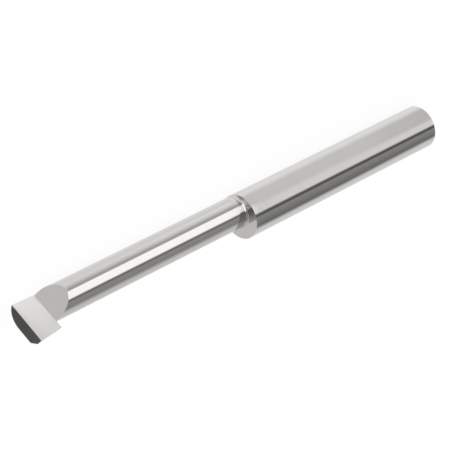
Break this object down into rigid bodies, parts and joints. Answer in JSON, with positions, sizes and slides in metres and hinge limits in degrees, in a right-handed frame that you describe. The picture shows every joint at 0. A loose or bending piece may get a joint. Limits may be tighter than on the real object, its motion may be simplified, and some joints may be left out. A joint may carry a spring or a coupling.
{
  "type": "boring bar",
  "caption": "Solid right-hand boring bar with a round shank, a slimmer neck set off to one side and a ground cutting head, for turning the inside of bores.",
  "frame": {"origin": "centre of the shank's rear end face", "axes": "+X along the shank towards the cutting head, +Z from the shank's axis towards the cutting tip, -Y the way the rake face looks"},
  "size_m": [0.0762, 0.0064, 0.0064],
  "materials": {
    "ground_carbide": "bright ground tungsten carbide, fine grinding lines round the shank and neck and along the flats of the head"
  },
  "bodies": {
    "root": {"boring_bar": "ground_carbide"}
  },
  "joints": []
}
